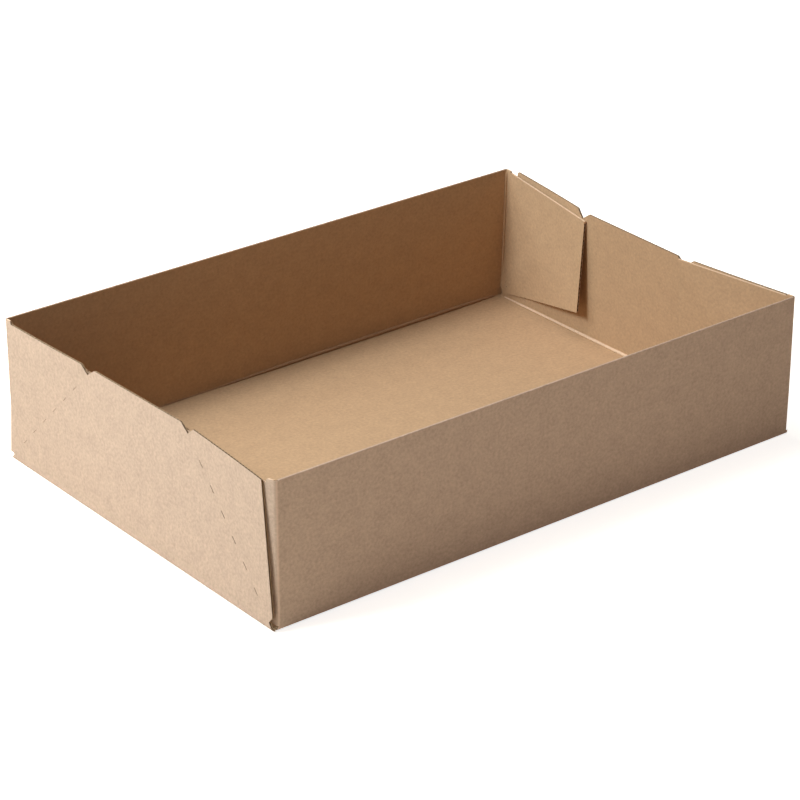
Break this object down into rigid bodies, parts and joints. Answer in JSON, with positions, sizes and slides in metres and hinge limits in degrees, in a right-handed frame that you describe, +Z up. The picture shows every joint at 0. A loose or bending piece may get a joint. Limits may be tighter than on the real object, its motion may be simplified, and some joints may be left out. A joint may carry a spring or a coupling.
{
  "type": "open cardboard tray box",
  "caption": "Shallow open tray folded from corrugated card, with corner flaps glued inside diagonally creased end walls",
  "frame": {"origin": "centre of the bounding box on the underside of the base, which rests on z = 0", "axes": "+X runs along the long walls, towards the end whose inside the picture shows; +Y towards the back long wall; +Z up, out of the open top"},
  "size_m": [0.4465, 0.303, 0.103],
  "materials": {
    "board": "matte uncoated brown kraft liner with fine fibre mottle, plain cut edges"
  },
  "bodies": {
    "root": {"tray": "board"}
  },
  "joints": []
}
